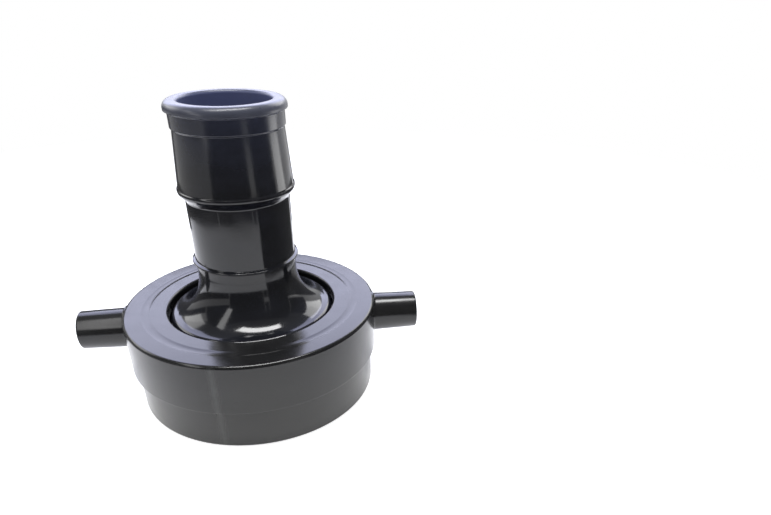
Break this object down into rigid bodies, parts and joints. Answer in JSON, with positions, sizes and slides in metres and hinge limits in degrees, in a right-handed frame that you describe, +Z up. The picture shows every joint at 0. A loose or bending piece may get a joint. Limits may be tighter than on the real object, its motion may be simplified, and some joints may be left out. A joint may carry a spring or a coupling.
{
  "type": "swivel hose tail coupling",
  "caption": "Moulded swivel nut with a coarse internal thread and two round lugs, holding a flanged, flared hose tail with a barb and an end bead, sealed by a flat washer.",
  "frame": {"origin": "centre of the mouth face of the nut, on which the coupling stands", "axes": "+Z up the common axis from the thread to the hose end, +X along the two lugs"},
  "size_m": [0.163, 0.12, 0.138],
  "materials": {
    "nut_plastic": "gloss, injection moulded",
    "tail_plastic": "high gloss, injection moulded",
    "washer_rubber": "matt"
  },
  "bodies": {
    "nut": {"swivel_nut": "nut_plastic"},
    "washer": {"sealing_washer": "washer_rubber"},
    "tail": {"hose_tail": "tail_plastic"}
  },
  "joints": [
    {"name": "axial_float", "type": "slide", "parent": "nut", "child": "washer", "axis": [0, 0, 1], "range_m": [0, 0.0021]},
    {"name": "tail_swivel", "type": "hinge", "parent": "washer", "child": "tail", "pos_m": [0, 0, 0.0346], "axis": [0, 0, 1], "continuous": true}
  ]
}
